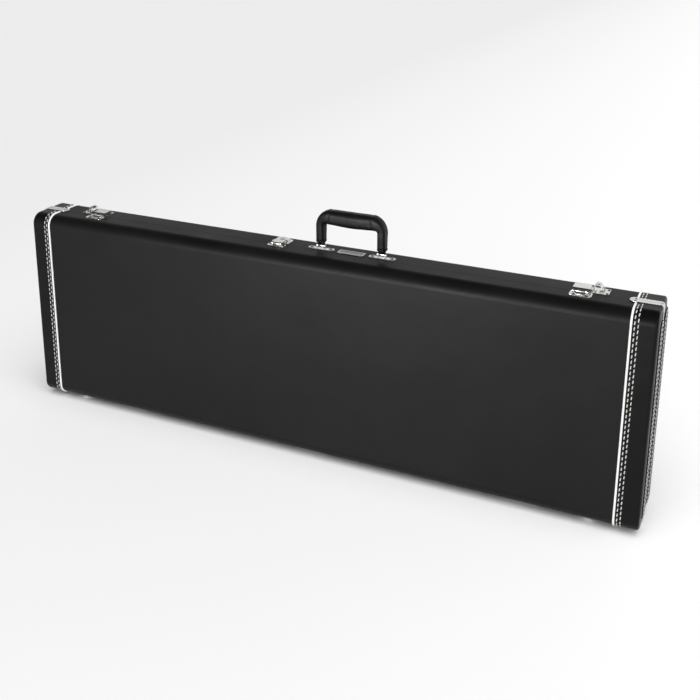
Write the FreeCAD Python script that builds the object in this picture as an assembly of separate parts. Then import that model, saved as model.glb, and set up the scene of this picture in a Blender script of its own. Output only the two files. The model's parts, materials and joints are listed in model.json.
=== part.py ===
"""Hard case for a long-scale electric guitar, modelled closed and standing on its hinge side.

Frame, in millimetres: X runs along the case, Y through its thickness with the lid on the -Y side, Z up.
The origin is under the middle of the case, on the surface that its feet stand on.
Each sub-part is written to parts/NAME.step.
"""
import FreeCAD
import Part
import math
import os

V = FreeCAD.Vector
X_AXIS, Y_AXIS, Z_AXIS = V(1, 0, 0), V(0, 1, 0), V(0, 0, 1)

# ---- driving dimensions -------------------------------------------------------------------------
SHELL_LENGTH = 1207.0        # over the two leather ends
SHELL_DEPTH = 104.0          # lid and body together
SHELL_HEIGHT = 385.0         # hinge side to handle side
EDGE_RADIUS = 21.0           # long edges of the case
FOOT_HEIGHT = 9.0
SEAM_Y = -4.0                # where the lid meets the body
SEAM_GAP = 0.6

VINYL = 1.2                  # covering between the leather ends
LEATHER_PROUD = 0.4          # how far the leather stands above the vinyl
LEATHER = VINYL + LEATHER_PROUD
WALL = 9.0                   # plywood rails and ends
PANEL = 4.6                  # plywood front and back
LINING = 3.0                 # plush on foam
INNER_RADIUS = 10.0

CAP_WIDTH = 41.0             # leather end, measured from the piping
PIPING_RADIUS = 1.8
PIPING_LIFT = 0.65           # its middle above the vinyl
TRIM_WIDTH = 8.0             # metal strips along the seam at both ends
TRIM_THICKNESS = 1.4
TRIM_TIP = 1.5               # how much wider a strip is at its round end
TRIM_OVERHANG = 6.0          # how far a strip reaches past the piping
BUMPER_THICKNESS = 4.5

SHEET = 1.2                  # nickel-plated sheet steel of plates and hinge leaves
RIVET_RADIUS = 2.8
RIVET_HEIGHT = 1.5
RUNNING = 0.06               # radial clearance of a pin in its knuckle

END_LATCH_X = 489.0          # middle of each end latch from the middle of the case
LOCK_X = -76.0
HANDLE_X = 65.0
HANDLE_Y = 6.0
HANDLE_PITCH = 118.0         # between the two brackets
HINGE_XS = (-400.0, 0.0, 400.0)
HINGE_LENGTH = 60.0
FOOT_XS = (-520.0, 520.0)
FOOT_RADIUS = 12.0

# ---- worked out from the driving dimensions -----------------------------------------------------
HALF = SHELL_LENGTH / 2
FRONT, BACK = -SHELL_DEPTH / 2, SHELL_DEPTH / 2
BOTTOM, TOP = FOOT_HEIGHT, FOOT_HEIGHT + SHELL_HEIGHT
MIDDLE_Z = (BOTTOM + TOP) / 2
PIPING_X = HALF - CAP_WIDTH
CORE_X = HALF - LEATHER
CAVITY_X = CORE_X - WALL
FAR = 2 * SHELL_LENGTH

SIDES = (("left", -1), ("right", 1))
HALVES = ("body", "lid")


# ---- small helpers ------------------------------------------------------------------------------
def box(x0, x1, y0, y1, z0, z1):
    """A block between two corners."""
    return Part.makeBox(x1 - x0, y1 - y0, z1 - z0, V(x0, y0, z0))


def cylinder(radius, start, end):
    """A round bar from one point to another."""
    along = end - start
    return Part.makeCylinder(radius, along.Length, start, along)


def fuse(shapes):
    """One solid out of several that meet."""
    shapes = list(shapes)
    joined = shapes[0].multiFuse(shapes[1:]) if len(shapes) > 1 else shapes[0]
    return joined.removeSplitter()


def half_of(shape, half):
    """The part of a shape on the body's or the lid's side of the seam."""
    if half == "body":
        keep = box(-FAR, FAR, SEAM_Y + SEAM_GAP / 2, FAR, -FAR, FAR)
    else:
        keep = box(-FAR, FAR, -FAR, SEAM_Y - SEAM_GAP / 2, -FAR, FAR)
    return shape.common(keep)


def away(half):
    """The direction along Y that leads from the seam into that half."""
    return 1 if half == "body" else -1


def rounded_rectangle(a0, a1, b0, b1, radius, point):
    """A face with round corners; point(a, b) places its two coordinates in space."""
    corners = ((a1 - radius, b1 - radius, 0), (a0 + radius, b1 - radius, 90),
               (a0 + radius, b0 + radius, 180), (a1 - radius, b0 + radius, 270))

    def on_arc(ca, cb, degrees):
        turn = math.radians(degrees)
        return point(ca + radius * math.cos(turn), cb + radius * math.sin(turn))

    edges, last = [], on_arc(*corners[-1][:2], corners[-1][2] + 90)
    for ca, cb, start in corners:
        first = on_arc(ca, cb, start)
        end = on_arc(ca, cb, start + 90)
        if (first - last).Length > 1e-6:
            edges.append(Part.makeLine(last, first))
        edges.append(Part.Arc(first, on_arc(ca, cb, start + 45), end).toShape())
        last = end
    return Part.Face(Part.Wire(edges))


def plate(x0, x1, y0, y1, z, thickness, radius):
    """A flat plate with round corners, lying level with its underside at z."""
    face = rounded_rectangle(x0, x1, y0, y1, radius, lambda a, b: V(a, b, z))
    return face.extrude(V(0, 0, thickness))


def rivet(x, y, z, up=1, radius=RIVET_RADIUS, height=RIVET_HEIGHT):
    """A domed rivet head on a level plate."""
    sphere_radius = (radius ** 2 + height ** 2) / (2 * height)
    centre = V(x, y, z + up * (height - sphere_radius))
    low, high = sorted((z, z + up * height))
    slab = box(x - radius, x + radius, y - radius, y + radius, low, high)
    return Part.makeSphere(sphere_radius, centre).common(slab)


def knuckle(x0, x1, y, z, radius, bore):
    """A rolled hinge eye along X."""
    outer = cylinder(radius, V(x0, y, z), V(x1, y, z))
    return outer.cut(cylinder(bore, V(x0 - 1, y, z), V(x1 + 1, y, z)))


def save(name, *solids):
    """Write one node from its solids."""
    shape = solids[0] if len(solids) == 1 else Part.makeCompound(list(solids))
    kept = shape.Solids
    assert kept and all(s.isValid() for s in kept), name
    (kept[0] if len(kept) == 1 else Part.makeCompound(kept)).exportStep(f"parts/{name}.step")


# ---- shells -------------------------------------------------------------------------------------
def case_prism(inset, x0, x1):
    """The outer form of the case, shrunk by inset all round its section."""
    face = rounded_rectangle(FRONT + inset, BACK - inset, BOTTOM + inset, TOP - inset, EDGE_RADIUS - inset,
                             lambda a, b: V(x0, a, b))
    return face.extrude(V(x1 - x0, 0, 0))


def cavity(inset):
    """The space inside the plywood, shrunk by inset."""
    face = rounded_rectangle(FRONT + VINYL + PANEL + inset, BACK - VINYL - PANEL - inset,
                             BOTTOM + VINYL + WALL + inset, TOP - VINYL - WALL - inset,
                             INNER_RADIUS - inset, lambda a, b: V(-CAVITY_X + inset, a, b))
    return face.extrude(V(2 * (CAVITY_X - inset), 0, 0))


def plywood(half):
    """The boards of one half: two end boards, two rails and two corner mouldings; and its flat panel."""
    core = half_of(case_prism(VINYL, -CORE_X, CORE_X).cut(cavity(0)), half)
    ends = [core.common(box(-FAR, -CAVITY_X, -FAR, FAR, -FAR, FAR)),
            core.common(box(CAVITY_X, FAR, -FAR, FAR, -FAR, FAR))]
    rail = VINYL + WALL
    moulding = rail + INNER_RADIUS
    levels = [-FAR, BOTTOM + rail, BOTTOM + moulding, TOP - moulding, TOP - rail, FAR]
    layers = [core.common(box(-CAVITY_X, CAVITY_X, -FAR, FAR, z0, z1)) for z0, z1 in zip(levels, levels[1:])]
    return ends + layers[:2] + layers[3:], layers[2]


def covering(half):
    """The vinyl that wraps one half between its leather ends."""
    reach = PIPING_X - PIPING_RADIUS
    return half_of(case_prism(0, -reach, reach).cut(case_prism(VINYL, -reach - 1, reach + 1)), half)


def end_cap(half, side):
    """The leather that wraps one end of one half, cup-shaped, with a soft outer rim."""
    inner = PIPING_X + PIPING_RADIUS
    outside = case_prism(-LEATHER_PROUD, inner, HALF)
    rim = [e for e in outside.Edges if min(v.X for v in e.Vertexes) > HALF - 0.01]
    outside = outside.makeFillet(4.0, rim)
    cup = outside.cut(case_prism(VINYL, inner - 1, CORE_X))
    cup = half_of(cup, half)
    return cup if side > 0 else cup.mirror(V(0, 0, 0), X_AXIS)


def piping(half, side):
    """A cord of piping round one half, stopping at both metal strips."""
    way = away(half)
    seam_end = SEAM_Y + way * (TRIM_WIDTH + TRIM_TIP + 1.0)
    flat_end = way * (SHELL_DEPTH / 2 - EDGE_RADIUS)
    radius = EDGE_RADIUS + PIPING_LIFT
    top, bottom, face = TOP + PIPING_LIFT, BOTTOM - PIPING_LIFT, way * (SHELL_DEPTH / 2 + PIPING_LIFT)
    x = side * PIPING_X
    diagonal = radius * (1 - math.sqrt(0.5))
    path = Part.Wire([
        Part.makeLine(V(x, seam_end, top), V(x, flat_end, top)),
        Part.Arc(V(x, flat_end, top), V(x, face - way * diagonal, top - diagonal),
                 V(x, face, top - radius)).toShape(),
        Part.makeLine(V(x, face, top - radius), V(x, face, bottom + radius)),
        Part.Arc(V(x, face, bottom + radius), V(x, face - way * diagonal, bottom + diagonal),
                 V(x, flat_end, bottom)).toShape(),
        Part.makeLine(V(x, flat_end, bottom), V(x, seam_end, bottom))])
    circle = Part.Wire(Part.makeCircle(PIPING_RADIUS, V(x, seam_end, top), V(0, way, 0)))
    return path.makePipeShell([circle], True, False)


def seam_trim(half, side):
    """The metal strip along the seam of one leather end: over the top, down the end, under the bottom."""
    way = away(half)
    y0 = SEAM_Y + way * 0.4
    y1 = SEAM_Y + way * (0.4 + TRIM_WIDTH)
    low, high = min(y0, y1), max(y0, y1)
    start = PIPING_X - TRIM_OVERHANG + TRIM_WIDTH / 2

    def bow(grow, corner):
        face = rounded_rectangle(-HALF - grow, HALF + grow, BOTTOM - LEATHER_PROUD - grow,
                                 TOP + LEATHER_PROUD + grow, corner, lambda a, b: V(a, low, b))
        return face.extrude(V(0, high - low, 0))

    strip = bow(TRIM_THICKNESS, 5.4).cut(bow(0, 4.0)).common(box(start, FAR, -FAR, FAR, -FAR, FAR))
    ends = []
    reach = TRIM_WIDTH + TRIM_TIP
    for z in (TOP + LEATHER_PROUD, BOTTOM - LEATHER_PROUD - TRIM_THICKNESS):
        disc = Part.makeCylinder(reach, TRIM_THICKNESS, V(start, y0, z), Z_AXIS)
        ends.append(disc.common(box(start - reach, start + reach, min(y0, y0 + way * reach),
                                    max(y0, y0 + way * reach), -FAR, FAR)))
    trim = fuse([strip] + ends)
    return trim if side > 0 else trim.mirror(V(0, 0, 0), X_AXIS)


def bumper(half, side):
    """A padded leather strip on the end of one half."""
    y0, y1 = (7.0, 41.0) if half == "body" else (-42.0, -15.0)
    face = rounded_rectangle(y0, y1, BOTTOM + 20, TOP - 16, 12.0, lambda a, b: V(HALF, a, b))
    pad = face.extrude(V(BUMPER_THICKNESS, 0, 0))
    rim = [e for e in pad.Edges if min(v.X for v in e.Vertexes) > HALF + BUMPER_THICKNESS - 0.01]
    pad = pad.makeFillet(2.5, rim)
    return pad if side > 0 else pad.mirror(V(0, 0, 0), X_AXIS)


def seam_lip():
    """The thin board that stands out of the body all round and keeps the closed lid in line."""
    inside = cavity(LINING + 2.5)
    in_body = cavity(LINING).cut(inside).common(
        box(-FAR, FAR, SEAM_Y + SEAM_GAP / 2, SEAM_Y + 14, -FAR, FAR))
    in_lid = cavity(LINING + 0.5).cut(inside).common(
        box(-FAR, FAR, SEAM_Y - 6, SEAM_Y + SEAM_GAP, -FAR, FAR))
    return fuse([in_body, in_lid])


def make_shells():
    for half in HALVES:
        boards, panel = plywood(half)
        save(f"{half}_frame", *boards)
        save(f"{half}_panel", panel)
        save(f"{half}_covering", covering(half))
        save(f"{half}_lining", half_of(cavity(0).cut(cavity(LINING)), half))
        for word, side in SIDES:
            save(f"{half}_end_cap_{word}", end_cap(half, side))
            save(f"{half}_piping_{word}", piping(half, side))
            save(f"{half}_seam_trim_{word}", seam_trim(half, side))
            save(f"{half}_bumper_{word}", bumper(half, side))
    save("seam_lip", seam_lip())


# ---- end latches --------------------------------------------------------------------------------
# Drawn for the right-hand latch: u runs outwards from its middle, v runs back from the seam and
# w runs up from the top of the case.
HASP_PIN = 1.2
HASP_EYE = 2.4
HASP_PIN_V, HASP_PIN_W = -8.0, 4.0
HASP_U = (-28.0, 0.0)
LATCH_KNUCKLES = ((-28.0, -21.8), (-6.2, 0.0))
KNUCKLE_GAP = 0.35
HASP_BACK = 20.0
HASP_TOP = 8.0
TONGUE_U = 2.8
LEVER_PIN = 1.2
LEVER_U, LEVER_W = 17.0, 3.6
LEVER_V = (6.6, 20.4)
CURL_U, CURL_W, CURL_RADIUS = 10.2, 7.2, 7.0


def latch_box(u0, u1, v0, v1, w0, w1):
    """A block in a latch's own directions."""
    return box(u0, u1, SEAM_Y + v0, SEAM_Y + v1, TOP + w0, TOP + w1)


def across(radius, u0, u1, v, w):
    """A round bar along X in a latch's own directions."""
    return cylinder(radius, V(u0, SEAM_Y + v, TOP + w), V(u1, SEAM_Y + v, TOP + w))


def along(radius, u, v0, v1, w):
    """A round bar along Y in a latch's own directions."""
    return cylinder(radius, V(u, SEAM_Y + v0, TOP + w), V(u, SEAM_Y + v1, TOP + w))


def latch_plate(u0, u1, v0, v1, w, thickness, radius):
    """A round-cornered plate in a latch's own directions."""
    return plate(u0, u1, SEAM_Y + v0, SEAM_Y + v1, TOP + w, thickness, radius)


def hinged_plate(base, knuckles, pin_v):
    """A plate on the lid with the knuckles that carry a hasp."""
    parts = [base]
    for u0, u1 in knuckles:
        parts.append(across(HASP_EYE, u0, u1, pin_v, HASP_PIN_W))
        parts.append(latch_box(u0, u1, pin_v - 2, pin_v + 2, 0, HASP_PIN_W))
    return fuse(parts).cut(across(HASP_PIN, -40, 40, pin_v, HASP_PIN_W))


def latch_case():
    """Plate on the body with the lever's two ears."""
    parts = [latch_plate(-29, 29, 1, 27, 0, SHEET, 3.0)]
    for v0, v1 in ((5.0, LEVER_V[0] - 0.3), (LEVER_V[1] + 0.3, 22.0)):
        parts.append(along(3.0, LEVER_U, v0, v1, LEVER_W))
        parts.append(latch_box(LEVER_U - 3, LEVER_U + 3, v0, v1, 0, LEVER_W))
    return fuse(parts).cut(along(LEVER_PIN, LEVER_U, 4, 23, LEVER_W))


def latch_lever():
    """The thumb lever: a curled strip that hooks over the hasp's tongue."""
    v0, v1 = LEVER_V
    curl = along(CURL_RADIUS, CURL_U, v0, v1, CURL_W).cut(along(CURL_RADIUS - 1.3, CURL_U, v0, v1, CURL_W))
    curl = curl.cut(latch_box(-9, 29, 0, 30, -3, 1.9))
    lever = fuse([curl, along(2.2, LEVER_U, v0, v1, LEVER_W)])
    return lever.cut(along(LEVER_PIN + RUNNING, LEVER_U, v0 - 1, v1 + 1, LEVER_W))


def latch_hasp():
    """The raised flap, hinged on the lid, that the lever holds down by its tongue."""
    outline = [(HASP_PIN_V, 5.0), (HASP_PIN_V, 6.4), (-3.0, HASP_TOP), (HASP_BACK, HASP_TOP),
               (HASP_BACK, HASP_TOP - SHEET), (-2.7, HASP_TOP - SHEET), (-7.0, 5.3)]
    points = [V(HASP_U[0], SEAM_Y + v, TOP + w) for v, w in outline + outline[:1]]
    flap = Part.Face(Part.makePolygon(points)).extrude(V(HASP_U[1] - HASP_U[0], 0, 0))
    parts = [flap, across(HASP_EYE, -21.5, -6.5, HASP_PIN_V, HASP_PIN_W)]
    for u0 in (HASP_U[0], HASP_U[1] - SHEET):
        parts.append(latch_box(u0, u0 + SHEET, 3, HASP_BACK, 2.0, HASP_TOP - 0.4))
    parts.append(latch_box(*HASP_U, HASP_BACK - SHEET, HASP_BACK, 2.0, HASP_TOP - 0.4))
    parts.append(latch_box(-SHEET, TONGUE_U, 8, HASP_BACK - SHEET, 2.0, 3.2))
    hasp = fuse(parts).cut(across(HASP_PIN + RUNNING, -22, -6, HASP_PIN_V, HASP_PIN_W))
    for u0, u1 in LATCH_KNUCKLES:
        room = (u0 - KNUCKLE_GAP, u1 + KNUCKLE_GAP)
        hasp = hasp.cut(across(HASP_EYE + KNUCKLE_GAP, *room, HASP_PIN_V, HASP_PIN_W))
    return hasp.common(latch_plate(HASP_U[0], TONGUE_U, HASP_PIN_V - 3, HASP_BACK, 0, 9, 2.4))


def latch_lid_plate():
    """Plate on the lid with the hasp's two knuckles."""
    base = latch_plate(-31, 5, -22, -1.5, 0, SHEET, 4.0)
    return hinged_plate(base, LATCH_KNUCKLES, HASP_PIN_V)


def make_end_latches():
    for word, side in SIDES:
        for name, shape in (("case", latch_case()), ("lever", latch_lever()), ("hasp", latch_hasp()),
                            ("lid_plate", latch_lid_plate())):
            save(f"latch_{word}_{name}", at_latch(shape, side))
    lever_pin = along(LEVER_PIN, LEVER_U, 5.0, 22.0, LEVER_W)
    save("lever_pins", *[at_latch(lever_pin, side) for _, side in SIDES])


def at_latch(shape, side):
    """A right-hand latch piece moved to its end of the case, mirrored on the left."""
    placed = shape.copy() if side > 0 else shape.mirror(V(0, 0, 0), X_AXIS)
    placed.translate(V(side * END_LATCH_X, 0, 0))
    return placed


END_LATCH_RIVETS = {"body": ((26.0, 5.0, RIVET_RADIUS), (26.0, 23.0, RIVET_RADIUS), (-24.0, 23.8, 2.4),
                             (-4.0, 23.8, 2.4)),
                    "lid": ((-24.0, -16.5, 3.4), (-3.5, -16.5, 4.4))}

# ---- key lock -----------------------------------------------------------------------------------
LOCK_PIN_V = -8.5
LOCK_KNUCKLES = ((-10.8, -6.5), (6.5, 10.8))
LOCK_CYLINDER_RADIUS = 5.0
LOCK_CYLINDER_V = 17.5
LOCK_HOUSING_TOP = 5.4


def lock_case():
    """Plate and housing on the body that hold the key cylinder."""
    base = latch_plate(-17, 17, 1, 30, 0, SHEET, 6.0)
    housing = latch_plate(-12.5, 12.5, 7.4, 28, 0, LOCK_HOUSING_TOP, 7.0)
    rim = [e for e in housing.Edges if min(v.Z for v in e.Vertexes) > TOP + LOCK_HOUSING_TOP - 0.1]
    bore_foot = V(0, SEAM_Y + LOCK_CYLINDER_V, TOP + 1.4)
    bore = Part.makeCylinder(LOCK_CYLINDER_RADIUS + RUNNING, 10, bore_foot, Z_AXIS)
    return fuse([base, housing.makeFillet(1.6, rim)]).cut(bore)


def lock_cylinder():
    """The round key barrel with its keyhole."""
    y = SEAM_Y + LOCK_CYLINDER_V
    barrel = Part.makeCylinder(LOCK_CYLINDER_RADIUS, 4.8, V(0, y, TOP + 1.6), Z_AXIS)
    slot = plate(-0.8, 0.8, y - 3, y + 2, TOP + 3.4, 9, 0.75)
    eye = Part.makeCylinder(1.5, 9, V(0, y + 1.6, TOP + 3.4), Z_AXIS)
    return barrel.cut(slot).cut(eye)


def lock_hasp():
    """The flap that is hinged on the lid and reaches over the seam to the lock."""
    eye = across(HASP_EYE, -6.2, 6.2, LOCK_PIN_V, HASP_PIN_W)
    neck = latch_box(-6.2, 6.2, LOCK_PIN_V, -5, 5.2, 6.4)
    flap = latch_plate(-11.5, 11.5, -5.7, 6.4, 5.2, SHEET, 3.0)
    lip = latch_box(-8, 8, 6.4 - SHEET, 6.4, 2.0, 5.8)
    return fuse([eye, neck, flap, lip]).cut(across(HASP_PIN + RUNNING, -12, 12, LOCK_PIN_V, HASP_PIN_W))


def lock_lid_plate():
    """Plate on the lid with the two knuckles of the lock's hasp."""
    base = latch_plate(-17, 17, -14, -1.5, 0, SHEET, 3.0)
    return hinged_plate(base, LOCK_KNUCKLES, LOCK_PIN_V)


def make_lock():
    for name, shape in (("case", lock_case()), ("cylinder", lock_cylinder()), ("hasp", lock_hasp()),
                        ("lid_plate", lock_lid_plate())):
        shape.translate(V(LOCK_X, 0, 0))
        save(f"lock_{name}", shape)
    hasp_pin = across(HASP_PIN, *HASP_U, HASP_PIN_V, HASP_PIN_W)
    lock_pin = across(HASP_PIN, LOCK_X - 10.8, LOCK_X + 10.8, LOCK_PIN_V, HASP_PIN_W)
    save("hasp_pins", lock_pin, *[at_latch(hasp_pin, side) for _, side in SIDES])


LOCK_RIVETS = {"body": ((-14.0, 4.6), (14.0, 4.6)), "lid": ((-14.2, -6.0), (14.2, -6.0))}

# ---- handle -------------------------------------------------------------------------------------
HANDLE_PIN_Z = TOP + 7.0
HANDLE_PIN = 1.8
HANDLE_HEIGHT = 76.0         # top of the grip above the case
GRIP_DEPTH, GRIP_THICK = 25.0, 26.0
LEG_DEPTH, LEG_THICK = 19.0, 15.0
SHOULDER, SHOULDER_THICK = 17.0, 23.0
EYE_RADIUS = 5.0
OVAL_POINTS = 16
SQUARENESS = 0.72            # 1 gives an oval section, less gives a squarer one


def squared(value):
    """Pushes a sine or cosine outwards, so that a circle becomes a rounded square."""
    return math.copysign(abs(value) ** SQUARENESS, value)


def section_wire(centre, heading, deep, thick):
    """A rounded outline square to the path, deep along Y, always starting on its +Y side."""
    across = Y_AXIS.cross(heading)
    curve = Part.BSplineCurve()
    points = []
    for i in range(OVAL_POINTS):
        turn = 2 * math.pi * i / OVAL_POINTS
        out = Y_AXIS * (squared(math.cos(turn)) * deep / 2)
        points.append(centre + out + across * (squared(math.sin(turn)) * thick / 2))
    curve.interpolate(points, PeriodicFlag=True)
    return Part.Wire(curve.toShape())


def handle_grip():
    """The leather-covered grip: two legs, round shoulders and a fuller hold, lofted along its arch."""
    half_width = HANDLE_PITCH / 2
    top = TOP + HANDLE_HEIGHT
    turn_x, turn_z = half_width - SHOULDER, top - SHOULDER_THICK / 2 - SHOULDER
    # each station along the arch: x, z, heading in degrees, depth, thickness
    stations = [(0.0, top - GRIP_THICK / 2, 0.0, GRIP_DEPTH, GRIP_THICK)]
    stations.append((half_width * 0.35, top - GRIP_THICK * 0.49, 0.0, GRIP_DEPTH, GRIP_THICK * 0.98))
    for degrees in (0.0, 22.5, 45.0, 67.5, 90.0):
        turn = math.radians(degrees)
        share = degrees / 90
        x, z = turn_x + SHOULDER * math.sin(turn), turn_z + SHOULDER * math.cos(turn)
        thick = SHOULDER_THICK - (SHOULDER_THICK - LEG_THICK - 1) * share
        stations.append((x, z, degrees, GRIP_DEPTH - 3 - 3 * share, thick))
    for z, deep, thick in ((HANDLE_PIN_Z + 14, LEG_DEPTH, LEG_THICK), (HANDLE_PIN_Z + 6.6, 12.5, 11.5)):
        stations.append((half_width, z, 90.0, deep, thick))
    wires = []
    mirrored = [(-x, z, -degrees, deep, thick) for x, z, degrees, deep, thick in stations[:0:-1]]
    for x, z, degrees, deep, thick in mirrored + stations:
        turn = math.radians(degrees)
        heading = V(math.cos(turn), 0, -math.sin(turn))
        wires.append(section_wire(V(x, 0, z), heading, deep, thick))
    arch = Part.makeLoft(wires, True, True)
    ends = []
    for side in (-1, 1):
        x = side * half_width
        ends.append(cylinder(EYE_RADIUS, V(x - 5.5, 0, HANDLE_PIN_Z), V(x + 5.5, 0, HANDLE_PIN_Z)))
        wide = EYE_RADIUS - 0.4
        ends.append(box(x - 5.5, x + 5.5, -wide, wide, HANDLE_PIN_Z, HANDLE_PIN_Z + 8.5))
    grip = fuse([arch] + ends)
    for side in (-1, 1):
        x = side * half_width
        grip = grip.cut(cylinder(HANDLE_PIN + RUNNING, V(x - 9, 0, HANDLE_PIN_Z), V(x + 9, 0, HANDLE_PIN_Z)))
    return grip


def handle_bracket():
    """Plate with two ears that carry one end of the handle."""
    base = plate(-25, 25, -7, 7, TOP, SHEET, 6.0)
    ears = []
    for x in (-7.6, 6.1):
        tall = cylinder(4.2, V(x, 0, HANDLE_PIN_Z), V(x + 1.5, 0, HANDLE_PIN_Z))
        ears.append(fuse([tall, box(x, x + 1.5, -4.2, 4.2, TOP, HANDLE_PIN_Z)]))
    return fuse([base] + ears).cut(cylinder(HANDLE_PIN, V(-9, 0, HANDLE_PIN_Z), V(9, 0, HANDLE_PIN_Z)))


def handle_pin():
    """Pin with two flat heads through a bracket's ears."""
    bar = cylinder(HANDLE_PIN, V(-8.6, 0, HANDLE_PIN_Z), V(8.6, 0, HANDLE_PIN_Z))
    heads = [cylinder(3.0, V(x, 0, HANDLE_PIN_Z), V(x + 1.4, 0, HANDLE_PIN_Z)) for x in (-9.0, 7.6)]
    return fuse([bar] + heads)


def make_handle():
    grip = handle_grip()
    grip.translate(V(HANDLE_X, HANDLE_Y, 0))
    save("handle_grip", grip)
    for word, side in SIDES:
        for name, shape in (("bracket", handle_bracket()), ("pin", handle_pin())):
            shape.translate(V(HANDLE_X + side * HANDLE_PITCH / 2, HANDLE_Y, 0))
            save(f"handle_{name}_{word}", shape)


def nameplate():
    """A blank plate with a raised border, under the handle."""
    blank = plate(-25, 25, -8, 8, TOP, 1.6, 1.5)
    blank = blank.makeFillet(0.4, [e for e in blank.Edges if min(v.Z for v in e.Vertexes) > TOP + 1.5])
    blank = blank.cut(plate(-22.5, 22.5, -5.5, 5.5, TOP + 1.0, 2, 1.0))
    blank.translate(V(HANDLE_X, HANDLE_Y, 0))
    return blank


# ---- hinges and feet ----------------------------------------------------------------------------
HINGE_PIN = 1.4
HINGE_KNUCKLE = 3.0
HINGE_Z = BOTTOM - HINGE_KNUCKLE - 0.35
HINGE_LEAF = 22.0
KNUCKLES = 5


def hinge_leaf(half, x):
    """One leaf with its share of the knuckles, under the case."""
    way = away(half)
    near, far_edge = SEAM_Y + way * 3.6, SEAM_Y + way * HINGE_LEAF
    x0 = x - HINGE_LENGTH / 2
    leaf = plate(x0, x0 + HINGE_LENGTH, min(near, far_edge), max(near, far_edge), BOTTOM - SHEET, SHEET, 2.0)
    parts = [leaf]
    pitch = HINGE_LENGTH / KNUCKLES
    bore = HINGE_PIN if half == "body" else HINGE_PIN + RUNNING
    for i in range(KNUCKLES):
        if (i % 2 == 0) == (half == "body"):
            a, b = x0 + i * pitch + 0.2, x0 + (i + 1) * pitch - 0.2
            parts.append(cylinder(HINGE_KNUCKLE, V(a, SEAM_Y, HINGE_Z), V(b, SEAM_Y, HINGE_Z)))
            y_in, y_out = SEAM_Y + way * 1.2, SEAM_Y + way * 6.0
            parts.append(box(a, b, min(y_in, y_out), max(y_in, y_out), BOTTOM - SHEET, BOTTOM))
    hole = cylinder(bore, V(x0 - 1, SEAM_Y, HINGE_Z), V(x0 + HINGE_LENGTH + 1, SEAM_Y, HINGE_Z))
    return fuse(parts).cut(hole)


def foot(x, y):
    """A domed glide."""
    height = FOOT_HEIGHT
    flange = Part.makeCylinder(FOOT_RADIUS, 1.2, V(x, y, BOTTOM - 1.2), Z_AXIS)
    dome = Part.makeCylinder(FOOT_RADIUS - 2.5, height, V(x, y, 0), Z_AXIS)
    dome = dome.makeFillet(4.5, [e for e in dome.Edges if max(v.Z for v in e.Vertexes) < 0.01])
    return fuse([flange, dome])


FOOT_Y = {"body": 18.0, "lid": -22.0}


def make_hinges_and_feet():
    for half in HALVES:
        save(f"{half}_hinge_leaves", *[hinge_leaf(half, x) for x in HINGE_XS])
        save(f"{half}_feet", *[foot(x, FOOT_Y[half]) for x in FOOT_XS])
    save("hinge_pins", *[cylinder(HINGE_PIN, V(x - HINGE_LENGTH / 2, SEAM_Y, HINGE_Z),
                                  V(x + HINGE_LENGTH / 2, SEAM_Y, HINGE_Z)) for x in HINGE_XS])


# ---- rivets -------------------------------------------------------------------------------------
def rivets(half):
    """Every visible rivet head on one half."""
    way = away(half)
    heads = []
    for side in (-1, 1):
        for u, v, radius in END_LATCH_RIVETS[half]:
            heads.append(rivet(side * (END_LATCH_X + u), SEAM_Y + v, TOP + SHEET, radius=radius))
        if half == "body":
            for u in (-19.0, 19.0):
                heads.append(rivet(HANDLE_X + side * HANDLE_PITCH / 2 + u, HANDLE_Y, TOP + SHEET))
        trim_x = side * (PIPING_X - TRIM_OVERHANG + TRIM_WIDTH / 2)
        trim_y = SEAM_Y + way * 4.6
        trim_top = TOP + LEATHER_PROUD + TRIM_THICKNESS
        heads.append(rivet(trim_x, trim_y, trim_top, radius=2.2, height=0.9))
        trim_foot = BOTTOM - LEATHER_PROUD - TRIM_THICKNESS
        heads.append(rivet(trim_x, trim_y, trim_foot, up=-1, radius=2.2, height=0.9))
    for u, v in LOCK_RIVETS[half]:
        heads.append(rivet(LOCK_X + u, SEAM_Y + v, TOP + SHEET, radius=2.2, height=1.2))
    for x in HINGE_XS:
        for offset in (-22.0, 0.0, 22.0):
            heads.append(rivet(x + offset, SEAM_Y + way * 14.0, BOTTOM - SHEET, up=-1))
    return heads


# ---- inside -------------------------------------------------------------------------------------
FLOOR_Y = BACK - VINYL - PANEL - LINING          # plush surface of the body's back
ROOM_LOW = BOTTOM + VINYL + WALL + INNER_RADIUS  # where the plush floor is flat
ROOM_HIGH = TOP - VINYL - WALL - INNER_RADIUS
BOX_X = (60.0, 330.0)
BOX_Z = (ROOM_LOW + 1.0, ROOM_LOW + 79.0)
BOX_FRONT = 0.5
FLAP_THICKNESS = 3.5
FLAP_AXIS_Y = BOX_FRONT - 0.5 - FLAP_THICKNESS / 2


def accessory_box():
    """The plush-covered compartment beside the neck, open towards the lid."""
    outer = box(BOX_X[0], BOX_X[1], BOX_FRONT, FLOOR_Y, BOX_Z[0], BOX_Z[1])
    return outer.cut(box(BOX_X[0] + 5, BOX_X[1] - 5, BOX_FRONT - 1, FLOOR_Y - 3, BOX_Z[0] + 5, BOX_Z[1] - 5))


def accessory_flap():
    """The compartment's padded flap, hinged along its lower edge."""
    y1 = BOX_FRONT - 0.5
    face = rounded_rectangle(BOX_X[0] + 1, BOX_X[1] - 1, BOX_Z[0] + 1.5, BOX_Z[1] - 1, 1.6,
                             lambda a, b: V(a, y1 - FLAP_THICKNESS, b))
    return face.extrude(V(0, FLAP_THICKNESS, 0))


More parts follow.
